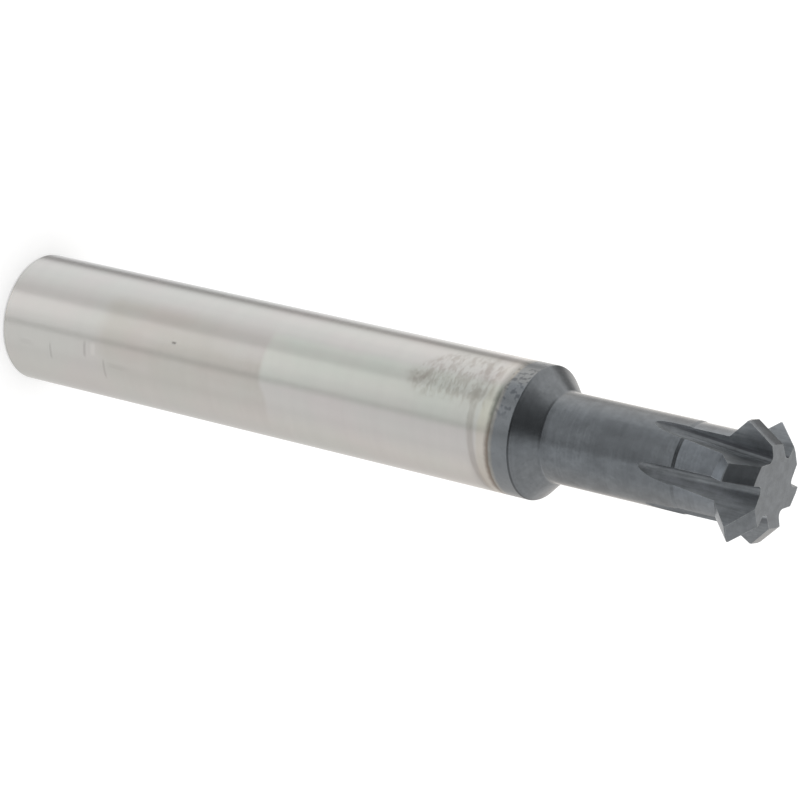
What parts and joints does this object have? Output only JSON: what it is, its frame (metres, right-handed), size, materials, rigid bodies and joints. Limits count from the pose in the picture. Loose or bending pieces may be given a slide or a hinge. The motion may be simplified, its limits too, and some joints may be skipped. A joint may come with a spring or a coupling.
{
  "type": "double-angle cutter",
  "caption": "Solid carbide shank cutter with straight flutes and radial teeth ground to a 90 degree double-angle edge on a slim neck.",
  "frame": {"origin": "centre of the flat rear end of the shank, on the tool's axis", "axes": "+Z along the tool's axis from the rear end to the cutting end, so the tool stands on its shank; +Y and +X are square to it"},
  "size_m": [0.0096, 0.0096, 0.0635],
  "materials": {
    "carbide": "ground carbide shank, with a dark blue-grey satin coating from just behind the shoulder to the cutting end"
  },
  "bodies": {
    "root": {"double_angle_cutter": "carbide"}
  },
  "joints": []
}
